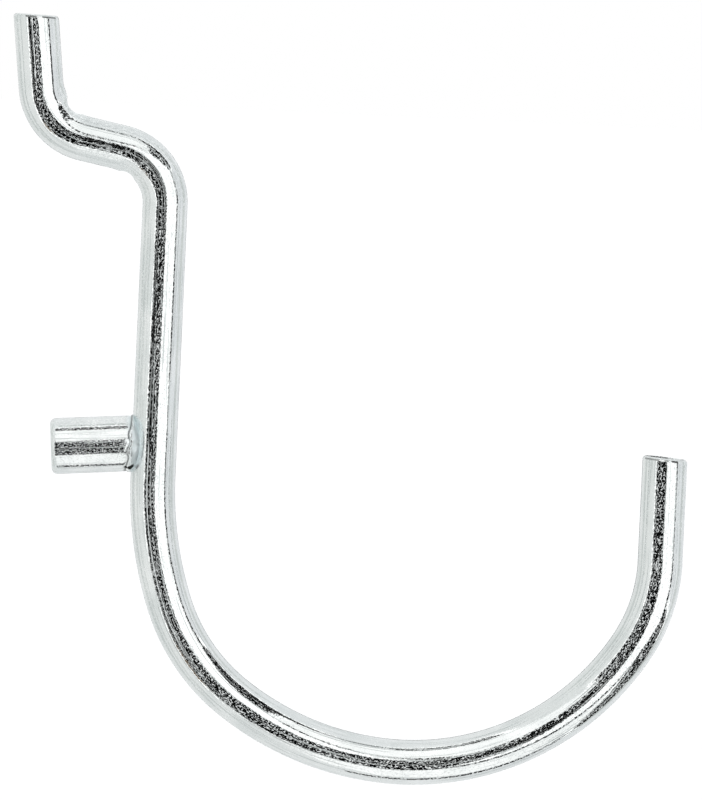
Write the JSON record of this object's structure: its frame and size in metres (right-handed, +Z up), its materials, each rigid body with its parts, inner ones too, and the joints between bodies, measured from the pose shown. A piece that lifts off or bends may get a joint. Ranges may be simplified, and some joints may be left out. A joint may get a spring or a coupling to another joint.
{
  "type": "pegboard hook",
  "caption": "Curved pegboard hook of bent round wire: an upturned leg and crank catch an upper hole, a short welded peg fits the hole below, and a wide open cradle holds what hangs.",
  "frame": {"origin": "where the axis of the locating peg crosses the front face of the board that the hook hangs on", "axes": "+X away from the board towards the cradle's open tip, +Y across the hook, square to the plane that it is bent in, +Z up along the shank"},
  "size_m": [0.0586, 0.005, 0.0637],
  "materials": {
    "zinc_plated_steel": "bright zinc plate over drawn wire"
  },
  "bodies": {
    "root": {"hook_wire": "zinc_plated_steel", "locating_peg": "zinc_plated_steel"}
  },
  "joints": []
}
